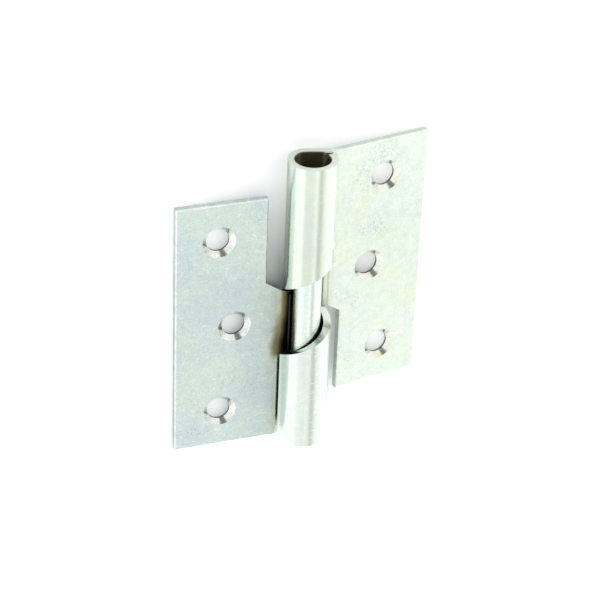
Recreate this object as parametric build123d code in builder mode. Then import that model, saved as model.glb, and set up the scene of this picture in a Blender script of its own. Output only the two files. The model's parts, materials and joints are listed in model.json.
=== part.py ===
from build123d import *
import os
from math import asin, atan2, cos, degrees, hypot, radians, sin, sqrt

# rising butt hinge lying on its back, mm: +Y runs up the pin, +Z out of the countersunk side

# leaf plate
leaf_height = 75.0
leaf_reach = 36.4
sheet = 2.0
front_set_back = 1.25
notch_reach = 11.2
notch_rise = 12.0
edge_round = 0.5
plate_level_slack = 0.01

# knuckle
knuckle_radius = 6.65
crank_angle = 24.0
roll_flattening = 0.65
seam_gap = 0.9
crank_round = 1.0
roll_round = 2.5
lip_from = 74.0
lip_out = 0.85
lip_round = 0.3

# rise
lead = 20.4
seat_gap = 0.15

# pin
pin_clearance = 0.15
pin_foot = 1.2
pin_top_below_rim = 4.0
pin_chamfer = 0.6

# screw holes
knuckle_end_hole_reach = 23.6
notch_end_hole_reach = 24.6
middle_hole_reach = 19.9
hole_from_end = 11.0
hole_radius = 3.2
sink_radius = 4.55
sink_angle = 90.0

# derived
bore_radius = knuckle_radius - sheet
flat_to_axis = bore_radius - roll_flattening
pin_radius = flat_to_axis - pin_clearance
back_set_back = front_set_back + sheet
crank = radians(crank_angle)
droop = asin(knuckle_radius / hypot(leaf_reach, back_set_back)) - atan2(back_set_back, leaf_reach)
axis_height = leaf_reach * sin(droop) + back_set_back * cos(droop)
opening = 180.0 + 2.0 * degrees(droop)
rise = lead * opening / 360.0
low_end = -(leaf_height + rise) / 2.0


# a point of the cranked strip, measured from the foot of the perpendicular from the pin axis
def along(distance, offset):
    return (
        offset * sin(crank) + distance * cos(crank),
        -offset * cos(crank) + distance * sin(crank),
    )


def on_ring(radius, angle):
    return (radius * cos(radians(angle)), radius * sin(radians(angle)))


flat_outer = flat_to_axis + sheet
bend_inner = ((flat_to_axis - front_set_back * cos(crank)) / sin(crank), -front_set_back)
bend_outer = ((flat_outer - back_set_back * cos(crank)) / sin(crank), -back_set_back)
join_outer = along(-sqrt(knuckle_radius**2 - flat_outer**2), flat_outer)
join_inner = along(-sqrt(bore_radius**2 - flat_to_axis**2), flat_to_axis)
free_level = seam_gap - front_set_back
free_outer = (knuckle_radius + lip_out, free_level)
free_inner = (sqrt(bore_radius**2 - free_level**2), free_level)
# the free end was pushed against the leaf, so its outer face leaves the circle and flares
lip_start = on_ring(knuckle_radius, 90.0 - lip_from)
lip_heading = (cos(radians(lip_from)), -sin(radians(lip_from)))

# leaf side is local +x, countersunk side local +y, up the pin is the normal
section = Plane(origin=(0, 0, 0), x_dir=(-1, 0, 0), z_dir=(0, 1, 0))

# helix that both knuckles share: height above the leaf's lower end, angle from the side away
# from the leaf
helix_low = (leaf_height - seat_gap) / 2.0
cut_from = -184.0
cut_to = 171.0
ramp_inside = 1.0
slope_start = -1.0
clear = 0.2
strip_clearance = 0.05

# the strip's own end runs just under that helix, out to where the other knuckle's lip passes,
# then up to the notch
lip_reach = hypot(*free_outer) + clear
lip_angle = 180.0 - degrees(atan2(front_set_back, lip_reach))
lip_height = helix_low + lead * lip_angle / 360.0 - strip_clearance
notch_height = helix_low + notch_rise
edge_slope = (notch_height - lip_height) / (notch_reach - lip_reach)
foot_reach = (flat_to_axis + sheet / 2.0) * sin(crank)
foot_height = helix_low + lead * (90.0 + crank_angle) / 360.0
bend_reach = (bend_inner[0] + bend_outer[0]) / 2.0
bend_height = lip_height - edge_slope * (lip_reach - bend_reach)
strip_slope = (bend_height - foot_height) / (bend_reach - foot_reach)

helix_span = cut_to - cut_from
helix_rise = lead * helix_span / 360.0
# turned so that a helix starting on local x runs counter-clockwise seen from the top of the pin
helix_base = Plane(
    origin=(0, helix_low + lead * cut_from / 360.0, 0),
    x_dir=(cos(radians(cut_from)), 0, -sin(radians(cut_from))),
    z_dir=(0, 1, 0),
)


def helix_at(radius):
    edge = Edge.make_helix(lead, helix_rise, radius)
    return helix_base.from_local_coords(edge)


# the upright edge of the pressing that is nearest to a point of its section
def upright_at(solid, point):
    middle = section.from_local_coords(Vector(*point, leaf_height / 2))
    return solid.edges().filter_by(Axis.Y).sort_by_distance(middle)[0]


ramp = Face.make_surface_from_curves(helix_at(ramp_inside), helix_at(lip_reach))

with BuildPart() as above_ramp:
    add(Solid.extrude(ramp, Vector(0, leaf_height, 0)))

with BuildPart() as pressing:
    with BuildSketch(section):
        with BuildLine():
            Line((leaf_reach, -back_set_back), bend_outer)
            Line(bend_outer, join_outer)
            ThreePointArc(join_outer, on_ring(knuckle_radius, 130), lip_start)
            TangentArc(lip_start, free_outer, tangent=lip_heading)
            Line(free_outer, free_inner)
            ThreePointArc(free_inner, on_ring(bore_radius, 130), join_inner)
            Line(join_inner, bend_inner)
            Line(bend_inner, (leaf_reach, -front_set_back))
            Line((leaf_reach, -front_set_back), (leaf_reach, -back_set_back))
        make_face()
    extrude(amount=leaf_height)
    fillet(upright_at(pressing, bend_inner), crank_round + sheet)
    fillet(upright_at(pressing, bend_outer), crank_round)
    fillet(upright_at(pressing, join_outer), roll_round + sheet)
    fillet(upright_at(pressing, join_inner), roll_round)
    fillet(upright_at(pressing, free_outer), lip_round)
    # the slanted end of the knuckle and the clearance for the other leaf's knuckle
    add(above_ramp.part, mode=Mode.SUBTRACT)
    with BuildSketch(Plane.XY.offset(-2 * knuckle_radius)):
        with BuildLine():
            Polyline(
                (-slope_start, foot_height - strip_slope * (foot_reach - slope_start)),
                (-bend_reach, bend_height),
                (-notch_reach, notch_height),
                (-notch_reach, leaf_height + clear),
                (-slope_start, leaf_height + clear),
                close=True,
            )
        make_face()
    extrude(amount=4 * knuckle_radius, mode=Mode.SUBTRACT)
    # stamped edges are rolled over on the countersunk side
    plate_low = -front_set_back - plate_level_slack
    plate_high = -front_set_back + plate_level_slack
    plate_front = pressing.faces().filter_by(Axis.Z).filter_by_position(Axis.Z, plate_low, plate_high)
    outline = plate_front.sort_by(SortBy.AREA)[-1].edges()
    ends = outline.filter_by(Axis.X)
    sides = outline.filter_by(Axis.Y).sort_by(Axis.X)
    # the last side is the bend
    fillet(ends + sides[:-1], edge_round)
    with Locations(Plane.XY.offset(-front_set_back)):
        with Locations(
            (-knuckle_end_hole_reach, hole_from_end),
            (-middle_hole_reach, leaf_height / 2),
            (-notch_end_hole_reach, leaf_height - hole_from_end),
        ):
            CounterSinkHole(hole_radius, sink_radius, depth=2 * sheet, counter_sink_angle=sink_angle)

with BuildPart() as frame_leaf:
    add(pressing.part.moved(Location((0, low_end, axis_height), (0, -degrees(droop), 0))))

with BuildPart() as door_leaf:
    turned = pressing.part.moved(Location((0, leaf_height, 0), (0, 0, 180)))
    add(turned.moved(Location((0, low_end + rise, axis_height), (0, degrees(droop), 0))))

pin_base = Plane(origin=(0, low_end + pin_foot, axis_height), x_dir=(1, 0, 0), z_dir=(0, 1, 0))

with BuildPart() as pin:
    with BuildSketch(pin_base):
        Circle(pin_radius)
    extrude(amount=leaf_height - pin_top_below_rim - pin_foot)
    chamfer(pin.edges().filter_by(GeomType.CIRCLE), pin_chamfer)

os.makedirs("parts", exist_ok=True)
frame_leaf.part.label = "frame_leaf"
door_leaf.part.label = "door_leaf"
pin.part.label = "pin"
export_step(frame_leaf.part, "parts/frame_leaf.step")
export_step(door_leaf.part, "parts/door_leaf.step")
export_step(pin.part, "parts/pin.step")
print("droop", round(degrees(droop), 3), "opening", round(opening, 3), "rise", round(rise, 3))
print("axis_height", round(axis_height, 3), "low_end", round(low_end, 3))
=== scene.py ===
import json
from math import atan2, cos, pi, radians, sin

import bpy
from mathutils import Matrix, Vector

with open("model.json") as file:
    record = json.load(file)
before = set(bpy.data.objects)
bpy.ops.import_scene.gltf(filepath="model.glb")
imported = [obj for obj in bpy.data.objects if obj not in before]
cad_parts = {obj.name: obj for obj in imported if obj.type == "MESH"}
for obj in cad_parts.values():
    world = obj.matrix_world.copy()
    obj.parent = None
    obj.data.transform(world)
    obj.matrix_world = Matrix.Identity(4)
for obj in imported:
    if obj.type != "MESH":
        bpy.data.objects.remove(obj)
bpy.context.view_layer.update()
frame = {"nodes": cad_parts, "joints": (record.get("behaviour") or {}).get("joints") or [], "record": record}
nodes = frame["nodes"]
millimetres = 1000.0
print("frame loaded", sorted(nodes))


# a node output, or a constant, that takes part in sums
class Wire:

    def __init__(self, shader, source):
        self.shader = shader
        self.source = source

    def math(self, operation, *others):
        return self.shader.node("ShaderNodeMath", [self, *others], operation=operation)

    def __add__(self, other):
        return self.math("ADD", other)

    def __sub__(self, other):
        return self.math("SUBTRACT", other)

    def __mul__(self, other):
        return self.math("MULTIPLY", other)

    def __rsub__(self, other):
        return self.shader.wire(other).math("SUBTRACT", self)

    __radd__ = __add__
    __rmul__ = __mul__


# the tree of a material or the world, with one method that makes a node and wires its inputs
class Shader:

    def __init__(self, tree, made):
        self.tree = tree
        self.made = made
        self.tree.nodes.clear()

    @classmethod
    def forMaterial(cls, name):
        made = bpy.data.materials.new(name)
        made.use_nodes = True
        return cls(made.node_tree, made)

    def wire(self, value):
        return value if isinstance(value, Wire) else Wire(self, value)

    def node(self, kind, inputs=(), output=0, **settings):
        made = self.tree.nodes.new(kind)
        for key, value in settings.items():
            setattr(made, key, value)
        pairs = inputs.items() if isinstance(inputs, dict) else enumerate(inputs)
        for key, value in pairs:
            value = value.source if isinstance(value, Wire) else value
            if isinstance(value, bpy.types.NodeSocket):
                self.tree.links.new(value, made.inputs[key])
            else:
                made.inputs[key].default_value = value
        return Wire(self, made.outputs[output] if made.outputs else None)

    def vector(self, operation, *inputs):
        return self.node("ShaderNodeVectorMath", inputs, operation=operation)

    # a sum on vectors that gives one number
    def measure(self, operation, *inputs):
        return self.node("ShaderNodeVectorMath", inputs, output="Value", operation=operation)

    def coordinates(self, kind):
        return self.node("ShaderNodeTexCoord", output=kind)

    # object coordinates in millimetres, moved so that each piece gets its own pattern
    def place(self, offset, stretch=(1, 1, 1)):
        scale = tuple(millimetres * share for share in stretch)
        return self.vector("MULTIPLY_ADD", self.coordinates("Object"), scale, offset)

    def noise(self, place, scale, detail=2.0, rough=0.5):
        return self.node(
            "ShaderNodeTexNoise",
            {"Vector": place, "Scale": scale, "Detail": detail, "Roughness": rough},
            output="Fac",
        )

    def ramp(self, value, low, high, outLow=0.0, outHigh=1.0):
        return self.node(
            "ShaderNodeMapRange",
            {"Value": value, "From Min": low, "From Max": high, "To Min": outLow, "To Max": outHigh},
        )

    def blend(self, factor, first, second):
        return self.node(
            "ShaderNodeMix", {0: factor, 6: first, 7: second}, output=2, data_type="RGBA"
        )


# what both leaves and the pin turn about, and how far each leaf leans as it lies on its outer edge
turn = frame["joints"][0]["pos_m"]
mounts = {mount["name"]: mount for mount in frame["record"]["mounts"]}


def leanOf(mount):
    x, y, z = mounts[mount]["axis"]
    return atan2(x, z)


# distance from the pin's axis in millimetres, and how squarely the surface looks at that axis
def aroundPin(shader):
    out = shader.vector("SUBTRACT", shader.coordinates("Object"), turn)
    flat = shader.vector("MULTIPLY", out, (millimetres, 0, millimetres))
    away = shader.vector("NORMALIZE", flat)
    facing = 0.0 - shader.measure("DOT_PRODUCT", away, shader.coordinates("Normal"))
    return shader.measure("LENGTH", flat), facing


# how squarely the surface looks one way across the pin, as an angle from overhead towards the door leaf
def looksTo(shader, angle):
    way = (sin(angle), 0.0, cos(angle))
    return shader.measure("DOT_PRODUCT", shader.coordinates("Normal"), way)


# how squarely the surface looks along the pin, 1 on the ends and ramps of the knuckles
def looksAlongPin(shader):
    return shader.measure("DOT_PRODUCT", shader.coordinates("Normal"), (0, 1, 0)).math("ABSOLUTE")


# distance in millimetres from the nearest of some places on the leaf, seen from above
def nearestOf(shader, places):
    flat = shader.vector("MULTIPLY", shader.coordinates("Object"), (millimetres, millimetres, 0))
    gaps = [shader.measure("DISTANCE", flat, (x, y, 0)) for x, y in places]
    nearest = gaps[0]
    for gap in gaps[1:]:
        nearest = nearest.math("MINIMUM", gap)
    return nearest


# the noises that the zinc is made of: scale per millimetre, detail and roughness
noises = {
    "cloud": (0.075, 2.0, 0.5),
    "haze": (0.1275, 2.0, 0.5),
    "mottle": (0.45, 3.0, 0.6),
    "fleck": (2.2, 2.0, 0.6),
    "grain": (1.0, 2.0, 0.6),
    "scratch": (1.0, 1.0, 0.4),
    "dots": (0.9, 0.0, 0.5),
    "patch": (0.11, 2.0, 0.5),
    "spots": (1.5, 2.0, 0.7),
    "film": (0.42, 3.0, 0.55),
    "speck": (1.9, 3.0, 0.6),
    "wander": (0.35, 3.0, 0.6),
}

# the two levels between which each mask grows from 0 to 1
levels = {
    # of the noise of that name
    "cloud": (0.36, 0.62),
    "haze": (0.50, 0.72),
    "mottle": (0.32, 0.68),
    "fleck": (0.30, 0.70),
    "grain": (0.30, 0.70),
    "scratch": (0.66, 0.69),
    "dots": (0.74, 0.79),
    "patch": (0.56, 0.70),
    "spots": (0.50, 0.64),
    "film": (0.50, 0.66),
    "speck": (0.60, 0.70),
    "polish": (0.30, 0.70),
    # millimetres from the pin's axis
    "plate": (8.2, 8.6),
    "roll": (8.0, 7.2),
    "bore": (5.7, 4.9),
    "lip": (5.2, 5.05),
    "seam": (9.4, 8.4),
    "pocketShade": (22.0, 10.0),
    # millimetres along the pin
    "lowHalf": (14.0, 2.0),
    # millimetres from a hole's middle, or from a smudge's
    "sink": (5.3, 5.0),
    "hole": (4.2, 3.8),
    "smudge": (7.0, 2.0),
    # how squarely the surface looks out of the plate
    "slanted": (0.40, 0.55),
    "notFlat": (0.97, 0.86),
    "flat": (0.90, 0.99),
    "wall": (0.45, 0.25),
    "sheared": (0.40, 0.20),
    # how squarely it looks at the pin's axis
    "facing": (0.30, 0.70),
    "edgeOn": (0.30, 0.15),
    "notOutside": (-0.30, -0.02),
    # how squarely it looks along the pin
    "ends": (0.60, 0.80),
    "notEnds": (0.70, 0.50),
    # how squarely the surface looks to the side of the painted dark streak on the rolls and to the pin's
    # side with painted shade
    "paintedStreak": (0.966, 0.985),
    "pinShade": (0.78, 0.98),
}

# how much each effect does, where it is the same on every piece
amounts = {
    "mottleRise": 0.4,
    "fleckRise": 0.5,
    "grain": 0.3,
    "dullest": 0.05,
    "smoothest": -0.04,
    "scratchRough": 0.08,
    "slantedBare": 0.85,
    "speck": 0.6,
    "shearedRough": 0.18,
    "sinkRoughness": 0.16,
    "rollEven": 0.6,
    "endRaw": 0.6,
    "seamOlive": 0.35,
    "creepOlive": 0.6,
    "stained": 0.9,
    "stainAndShadeRough": 0.2,
    "stainAndShadeMatt": 0.85,
    "pinShadeStained": 0.8,
    "pinShadeMatt": 0.5,
}

# the outline of the brown stain and the black painted shade in millimetres, and how steeply it turns black
darkOutline = {"wander": 1.6, "blackWander": 0.7, "fade": 2.0, "blacken": 1.8, "steep": 1.5}
darkOutlineEnds = {"outer": 1.5, "inner": 0.5, "lowFrom": 14.0, "lowTo": 3.0}

# how much each noise lifts the surface
relief = {"grain": 0.4, "fleck": 0.5, "mottle": 0.6, "scratch": -0.5}


# a piece's finish as it builds up: a tint, a tone that multiplies it, roughness and metallic
class Coat:

    def __init__(self, name, look):
        self.shader = Shader.forMaterial(name)
        self.look = look
        self.place = self.shader.place(look["offset"])
        self.tone = self.shader.wire(1.0)
        self.metallic = self.shader.wire(1.0)

    def noise(self, name, place=None):
        return self.shader.noise(place or self.place, *noises[name])

    def level(self, value, name, low=0.0, high=1.0):
        return self.shader.ramp(value, *levels[name], low, high)

    # the mask that a noise gives by itself
    def patches(self, name, place=None):
        return self.level(self.noise(name, place), name)

    def looksTo(self, name):
        return looksTo(self.shader, self.look[name])

    def dye(self, factor, colour):
        self.tint = self.shader.blend(factor, self.tint, self.look[colour])

    def scale(self, factor):
        self.tone = self.tone * factor

    # darker by an amount where a noise is low, and brighter by a share of it where it is high
    def vary(self, noise, name, amount, rise):
        self.scale(self.level(noise, name, 1 - amount, 1 + rise * amount))

    def material(self):
        shader = self.shader
        grey = shader.node("ShaderNodeCombineColor", [self.tone, self.tone, self.tone])
        colour = shader.node(
            "ShaderNodeMix",
            {0: 1.0, 6: self.tint, 7: grey},
            output=2,
            data_type="RGBA",
            blend_type="MULTIPLY",
        )
        bump = shader.node(
            "ShaderNodeBump",
            {
                "Strength": self.look["bumpStrength"],
                "Distance": self.look["bumpDistance"],
                "Height": self.height,
            },
        )
        metal = shader.node(
            "ShaderNodeBsdfPrincipled",
            {
                "Base Color": colour,
                "Metallic": self.metallic,
                "Roughness": self.rough,
                "Normal": bump,
            },
        )
        shader.node("ShaderNodeOutputMaterial", {"Surface": metal})
        return shader.made


# the zinc itself: clouds of colour, mottling, flecks, light dots, grain, scratches and dark spots
def plateWithZinc(coat):
    shader = coat.shader
    look = coat.look
    offset = look["offset"]
    mottle = coat.noise("mottle")
    fleck = coat.noise("fleck")
    grain = coat.noise("grain", shader.place(offset, look["grainStretch"]))
    scratch = coat.patches("scratch", shader.place(offset, look["scratchStretch"]))

    coat.tint = shader.blend(coat.patches("cloud"), look["blue"], look["green"])
    haze = coat.noise("haze", shader.place(offset[::-1]))
    coat.dye(coat.level(haze, "haze", 0.0, look["yellowAmount"]), "yellow")

    coat.vary(mottle, "mottle", look["mottleAmount"], amounts["mottleRise"])
    coat.vary(fleck, "fleck", look["fleckAmount"], amounts["fleckRise"])
    dots = coat.patches("dots", shader.place(offset[2:] + offset[:2]))
    coat.scale(1.0 + dots * look["dotBright"])
    coat.vary(grain, "grain", amounts["grain"] * look["mottleAmount"], 0.0)
    patch = coat.patches("patch", shader.place(offset[1:] + offset[:1]))
    patch = patch.math("MAXIMUM", coat.level(nearestOf(shader, look["smudges"]), "smudge"))
    coat.scale(1.0 - patch * coat.patches("spots") * look["spotDark"])

    dullest = look["roughness"] + amounts["dullest"]
    smoothest = look["roughness"] + amounts["smoothest"]
    coat.rough = coat.level(mottle, "polish", dullest, smoothest) + scratch * amounts["scratchRough"]
    coat.height = grain * relief["grain"] + fleck * relief["fleck"]
    coat.height = coat.height + mottle * relief["mottle"] + scratch * relief["scratch"]


# countersinks and rolled-over edges are brighter and smoother, sheared edges darker, and hole walls get
# painted shade
def finishCuts(coat, distance):
    look = coat.look
    square = coat.looksTo("plateAt")
    onPlate = coat.level(distance, "plate")
    hole = nearestOf(coat.shader, look["holes"])
    slanted = coat.level(square, "slanted") * coat.level(square, "notFlat") * onPlate
    sunk = slanted * coat.level(hole, "sink")
    wall = coat.level(hole, "hole") * coat.level(square.math("ABSOLUTE"), "wall")
    sheared = coat.level(square.math("ABSOLUTE"), "sheared") * onPlate
    coat.dye(slanted * amounts["slantedBare"], "bare")
    coat.dye(sunk * coat.patches("film") * look["sinkDirt"], "sinkTint")
    coat.dye(sunk * coat.patches("speck") * look["sinkDirt"] * amounts["speck"], "stain")
    coat.scale(1.0 - sheared * look["shearDark"])
    # painted shade on the hole walls, where they mirror the shadowed floor under the plate
    coat.scale(1.0 - wall * look["wallShade"])
    smoother = look["roughness"] - amounts["sinkRoughness"]
    coat.rough = coat.rough + sheared * amounts["shearedRough"] - sunk * smoother


# the rolls are burnished by the forming and brightened, partly as a painted sheen, with a painted dark
# streak at one angle and painted shade on the side away from the leaf, and their ends are raw steel under
# the zinc, a little warmer
def finishRolls(coat, distance):
    look = coat.look
    rolled = coat.level(distance, "roll")
    coat.rough = coat.rough - rolled * look["burnish"]
    # bare metal and a painted sheen brighten the rolls
    coat.dye(rolled * look["rollBareAndSheen"], "bare")
    even = amounts["rollEven"]
    coat.tone = coat.tone * (1.0 - rolled * even) + rolled * (even * look["rollSheen"])
    # a painted dark streak along the roll where its surface turns to one angle
    coat.scale(1.0 - rolled * coat.level(coat.looksTo("paintedStreakAt"), "paintedStreak") * look["paintedStreakDark"])
    # painted shade on the side of the roll away from the leaf
    side = coat.shader.ramp(coat.looksTo("shadedSideAt"), *look["shadedSideLevels"])
    coat.scale(1.0 - rolled * side * look["shadedSideDark"])
    ends = coat.level(looksAlongPin(coat.shader), "ends") * rolled
    coat.scale(1.0 + ends * look["endBright"])
    coat.dye(ends * amounts["endRaw"], "endTint")


# what looks at the pin inside the bore is painted shade, browned; beside the bare pin painted shade runs out
# over the plate, black, then a brown stain, then olive, and it spreads further and darker towards the lower
# end
def addStainAndShade(coat, distance, facing):
    shader = coat.shader
    look = coat.look
    # painted shade inside the bore, where the surface looks at the pin
    inside = coat.level(facing, "facing") * coat.level(distance, "bore")
    along = shader.node("ShaderNodeSeparateXYZ", [coat.place], output=1) - look["offset"][1]
    # painted shade, darker near the pin's lower half
    coat.scale(1.0 - coat.level(distance, "pocketShade") * coat.level(along, "lowHalf") * look["pocketShade"])
    # a little brighter towards the upper end
    coat.scale(1.0 + shader.ramp(along, *look["brightAlong"]) * look["bright"])

    low, high = look["besidePin"]
    outer = darkOutlineEnds["outer"]
    inner = darkOutlineEnds["inner"]
    beside = shader.ramp(along, low - outer, low + inner) * shader.ramp(along, high + outer, high - inner)
    beside = beside * coat.level(looksAlongPin(shader), "notEnds") * coat.level(facing, "notOutside")

    wander = (coat.noise("wander") - 0.5) * darkOutline["wander"]
    brownFrom = look["brownFrom"]
    blackFrom = look["blackFrom"]
    besidePin = beside * shader.ramp(distance + wander, brownFrom + darkOutline["fade"], brownFrom)
    seam = coat.level(distance + wander, "seam") * coat.level(coat.looksTo("plateAt"), "flat")
    olive = (seam * amounts["seamOlive"]).math("MAXIMUM", besidePin * amounts["creepOlive"])
    coat.dye(olive, "olive")

    # painted shade that deepens and spreads towards the lower end
    towardLow = shader.ramp(along, low + darkOutlineEnds["lowFrom"], low + darkOutlineEnds["lowTo"])
    coat.scale(1.0 - besidePin * towardLow * look["lowShadeDark"])
    wander = wander - towardLow * look["lowWiden"]
    brown = beside * shader.ramp(distance + wander, brownFrom, blackFrom)
    stainAndShade = brown.math("MAXIMUM", inside)
    coat.dye(stainAndShade * amounts["stained"], "stain")

    # the black beside the pin is painted shade; the lit sliver at the bore's lip is blacked with it
    outline = distance + wander * darkOutline["blackWander"]
    unshaded = shader.ramp(outline, blackFrom - darkOutline["blacken"], blackFrom).math("POWER", darkOutline["steep"])
    unshaded = unshaded * (1.0 - coat.level(distance, "lip") * coat.level(facing, "edgeOn"))
    coat.scale(1.0 - beside * (1.0 - unshaded))
    # painted shade inside the bore
    coat.scale(1.0 - inside * look["paintedShadeDark"])
    coat.rough = coat.rough + stainAndShade * amounts["stainAndShadeRough"]
    coat.metallic = coat.metallic - stainAndShade * amounts["stainAndShadeMatt"]


def leafZinc(name, look):
    coat = Coat(name, look)
    plateWithZinc(coat)
    distance, facing = aroundPin(coat.shader)
    finishCuts(coat, distance)
    finishRolls(coat, distance)
    addStainAndShade(coat, distance, facing)
    return coat.material()


# the pin is plated as the leaves are, with painted shade and a brown stain on the side that the camera
# doesn't see
def pinZinc(name, look):
    coat = Coat(name, look)
    plateWithZinc(coat)
    # painted shade, browned, on the pin's side turned down towards the frame leaf
    pinShade = coat.level(coat.looksTo("pinShadeAt"), "pinShade")
    coat.dye(pinShade * amounts["pinShadeStained"], "stain")
    coat.scale(1.0 - pinShade * look["paintedShadeDark"])
    coat.metallic = coat.metallic - pinShade * amounts["pinShadeMatt"]
    return coat.material()


def dress(node, material):
    slots = nodes[node].data.materials
    slots.clear()
    slots.append(material)


frameLook = {
    "offset": (11.0, 3.0, 7.0),
    "plateAt": leanOf("frame_outer_screws"),
    "grainStretch": (3.2, 0.22, 3.2),
    "scratchStretch": (0.35, 4.2, 0.35),
    "blue": (0.66, 0.77, 0.78, 1),
    "green": (0.71, 0.82, 0.75, 1),
    "yellow": (0.80, 0.86, 0.73, 1),
    "yellowAmount": 0.35,
    "bare": (0.93, 0.94, 0.90, 1),
    "stain": (0.39, 0.32, 0.12, 1),
    "sinkTint": (0.86, 0.80, 0.52, 1),
    "olive": (0.62, 0.68, 0.50, 1),
    "endTint": (0.88, 0.92, 0.82, 1),
    "besidePin": (-16.5, 8.0),
    "sinkDirt": 0.35,
    "mottleAmount": 0.12,
    "fleckAmount": 0.13,
    "dotBright": 0.12,
    "wallShade": 0.70,
    "holes": ((-23.3, -31.9), (-19.6, -5.4), (-24.3, 21.1)),
    "spotDark": 0.16,
    "smudges": ((-15.0, -24.0),),
    "burnish": 0.10,
    "paintedStreakAt": -radians(29),
    "paintedStreakDark": 0.0,
    "shearDark": 0.18,
    "brownFrom": 8.0,
    "blackFrom": 6.2,
    "lowWiden": 2.3,
    "lowShadeDark": 0.45,
    "brightAlong": (8.0, 26.0),
    "bright": 0.07,
    "shadedSideAt": radians(66),
    "shadedSideLevels": (0.95, 0.985),
    "shadedSideDark": 0.30,
    "endBright": -0.04,
    "pocketShade": 0.14,
    "rollSheen": 1.26,
    "rollBareAndSheen": 0.35,
    "paintedShadeDark": 0.93,
    "roughness": 0.30,
    "bumpStrength": 0.25,
    "bumpDistance": 0.00004,
}
dress("frame_leaf", leafZinc("frame_leaf_zinc", frameLook))

doorLook = dict(
    frameLook,
    offset=(-23.0, 17.0, 5.0),
    plateAt=leanOf("door_outer_screws"),
    blue=(0.72, 0.81, 0.74, 1),
    green=(0.74, 0.83, 0.72, 1),
    yellow=(0.77, 0.84, 0.64, 1),
    yellowAmount=0.7,
    sinkDirt=0.8,
    mottleAmount=0.09,
    fleckAmount=0.07,
    dotBright=0.05,
    spotDark=0.24,
    smudges=((22.0, 37.5), (17.5, 33.0)),
    holes=((23.3, 31.9), (19.6, 5.4), (24.3, -21.1)),
    paintedStreakDark=0.10,
    shadedSideAt=-radians(115),
    shadedSideLevels=(0.82, 0.94),
    shadedSideDark=0.45,
    brightAlong=(20.0, 40.0),
    endBright=-0.25,
    besidePin=(-12.0, 12.0),
    brownFrom=6.6,
    blackFrom=4.4,
    lowWiden=0.0,
    pocketShade=0.0,
    rollSheen=1.04,
    rollBareAndSheen=0.0,
    paintedShadeDark=0.82,
)
dress("door_leaf", leafZinc("door_leaf_zinc", doorLook))

pinLook = dict(
    frameLook,
    offset=(5.0, -31.0, 2.0),
    blue=(0.77, 0.88, 0.84, 1),
    green=(0.80, 0.90, 0.81, 1),
    yellow=(0.82, 0.90, 0.77, 1),
    grainStretch=(3.5, 0.15, 3.5),
    mottleAmount=0.07,
    fleckAmount=0.04,
    smudges=((0.0, 60.0),),
    roughness=0.20,
    pinShadeAt=-radians(125),
)
dress("pin", pinZinc("pin_zinc", pinLook))
print("materials made")


# the table is lifted to white for the camera and in reflections, less so close to the hinge, a painted soft
# shade round it that keeps the shadows: how far across and along the hinge the lift grows, in metres from
# the middle
table = {
    "size": 4.0,
    "colour": (0.93, 0.93, 0.945, 1),
    "roughness": 0.9,
    "specular": 0.1,
    "lift": 0.36,
    "across": (0.005, 0.028),
    "along": (0.017, 0.044),
    "middle": -0.008,
}


def makeTable():
    half = table["size"] / 2
    mesh = bpy.data.meshes.new("table")
    corners = [(-half, -half, 0), (half, -half, 0), (half, half, 0), (-half, half, 0)]
    mesh.from_pydata(corners, [], [(0, 1, 2, 3)])
    plane = bpy.data.objects.new("table", mesh)
    bpy.context.scene.collection.objects.link(plane)
    shader = Shader.forMaterial("table_white")
    place = shader.node("ShaderNodeSeparateXYZ", [shader.coordinates("Object")])
    x, y = (Wire(shader, socket) for socket in place.source.node.outputs[:2])
    across = shader.ramp(x.math("ABSOLUTE"), *table["across"])
    along = shader.ramp((y - table["middle"]).math("ABSOLUTE"), *table["along"])
    away = across.math("MAXIMUM", along)
    rays = ("Is Camera Ray", "Is Glossy Ray", "Is Transmission Ray")
    seen = sum(shader.node("ShaderNodeLightPath", output=ray) for ray in rays)
    matt = shader.node(
        "ShaderNodeBsdfPrincipled",
        {
            "Base Color": table["colour"],
            "Roughness": table["roughness"],
            "Specular IOR Level": table["specular"],
            "Emission Color": (1, 1, 1, 1),
            "Emission Strength": seen.math("MINIMUM", 1.0) * away * table["lift"],
        },
    )
    shader.node("ShaderNodeOutputMaterial", {"Surface": matt})
    mesh.materials.append(shader.made)


makeTable()


# the room: brightness round the hinge's length, as degrees from overhead towards the frame leaf's side,
# and one dark object beside the camera
room = {
    "dome": 1.05,
    "onTable": 0.80,
    "nearSide": (0.15, -0.25),
    "ringTop": 2.0,
    "ring": {
        -180: 1.0,
        -122: 1.25,
        -70: 1.30,
        -42: 1.22,
        -30: 1.00,
        -20: 0.72,
        -12: 0.80,
        -2: 1.15,
        8: 1.20,
        20: 1.08,
        48: 1.08,
        66: 1.28,
        112: 1.25,
        180: 1.0,
    },
    "camera": {"towards": (-0.20, 0.75, 0.63), "wide": 13, "soft": 8, "gain": -0.85},
}


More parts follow.
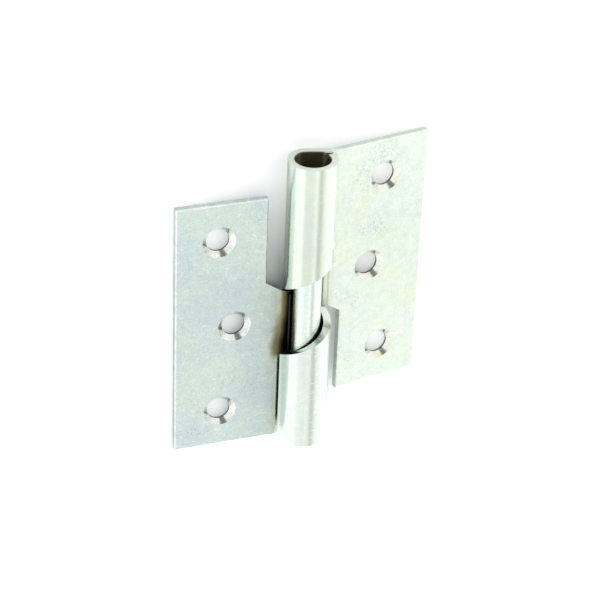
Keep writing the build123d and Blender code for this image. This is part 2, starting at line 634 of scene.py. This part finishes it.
def lightRoom():
    world = bpy.data.worlds.new("room")
    bpy.context.scene.world = world
    world.use_nodes = True
    shader = Shader(world.node_tree, world)
    way = shader.coordinates("Generated")
    part = shader.node("ShaderNodeSeparateXYZ", [way])
    x, y, z = (Wire(shader, socket) for socket in part.source.node.outputs)
    angle = shader.ramp((x * -1.0).math("ARCTAN2", z), -pi, pi)
    ring = shader.node("ShaderNodeValToRGB", [angle])
    band = ring.source.node.color_ramp
    band.interpolation = "EASE"
    stops = sorted(room["ring"].items())
    while len(band.elements) < len(stops):
        band.elements.new(1.0)
    for element, (degrees, strength) in zip(band.elements, stops):
        element.position = (degrees + 180) / 360
        share = strength / room["ringTop"]
        element.color = (share, share, share, 1)
    near = shader.ramp(y, *room["nearSide"])
    dark = room["camera"]
    aim = tuple(Vector(dark["towards"]).normalized())
    facing = shader.measure("DOT_PRODUCT", way, aim)
    inner = cos(radians(dark["wide"]))
    outer = cos(radians(dark["wide"] + dark["soft"]))
    shade = shader.ramp(facing, outer, inner, 0.0, dark["gain"])
    grey = shader.node("ShaderNodeRGBToBW", [ring])
    strength = near * (grey * room["ringTop"] - room["dome"]) + room["dome"] + shade
    diffuse = shader.node("ShaderNodeLightPath", output="Is Diffuse Ray")
    strength = strength * (1.0 - diffuse * (1 - room["onTable"]))
    light = shader.node("ShaderNodeBackground", {"Color": (1.0, 1.0, 1.0, 1), "Strength": strength})
    shader.node("ShaderNodeOutputWorld", {"Surface": light})


lightRoom()

# softboxes that throw the shadows: where they hang, how large they are and how much they give
lamps = {
    "low": {"at": (0.45, -1.15, 0.50), "aim": (0, 0, 0), "size": (0.5, 0.5), "watts": 4.5},
    "side": {"at": (1.15, -0.20, 0.45), "aim": (0, 0, 0), "size": (0.4, 0.5), "watts": 2.5},
}


def makeLamps():
    for name, lamp in lamps.items():
        light = bpy.data.lights.new(name, "AREA")
        light.shape = "RECTANGLE"
        light.size, light.size_y = lamp["size"]
        light.energy = lamp["watts"]
        holder = bpy.data.objects.new(name, light)
        holder.location = lamp["at"]
        towards = Vector(lamp["aim"]) - Vector(lamp["at"])
        holder.rotation_euler = towards.to_track_quat("-Z", "Y").to_euler()
        bpy.context.scene.collection.objects.link(holder)


makeLamps()
print("room lit")


# the photograph's camera: place in metres, directions, and focal length and width in pixels
view = {
    "at": (-0.215094, 0.299126, 0.452861),
    "right": (0.910814, 0.035048, 0.411326),
    "up": (0.185409, 0.855510, -0.483452),
    "focal": 2157.43,
    "width": 600,
    "sensor": 36.0,
    "clip": (0.01, 50.0),
}


def makeCamera():
    lens = bpy.data.cameras.new("camera")
    lens.sensor_fit = "HORIZONTAL"
    lens.sensor_width = view["sensor"]
    lens.lens = view["sensor"] * view["focal"] / view["width"]
    lens.clip_start, lens.clip_end = view["clip"]
    right = Vector(view["right"]).normalized()
    up = Vector(view["up"])
    up = (up - right * up.dot(right)).normalized()
    back = right.cross(up)
    facing = Matrix((right, up, back)).transposed().to_4x4()
    camera = bpy.data.objects.new("camera", lens)
    camera.matrix_world = Matrix.Translation(view["at"]) @ facing
    bpy.context.scene.collection.objects.link(camera)
    bpy.context.scene.camera = camera


makeCamera()
bpy.context.scene.view_settings.view_transform = "Standard"
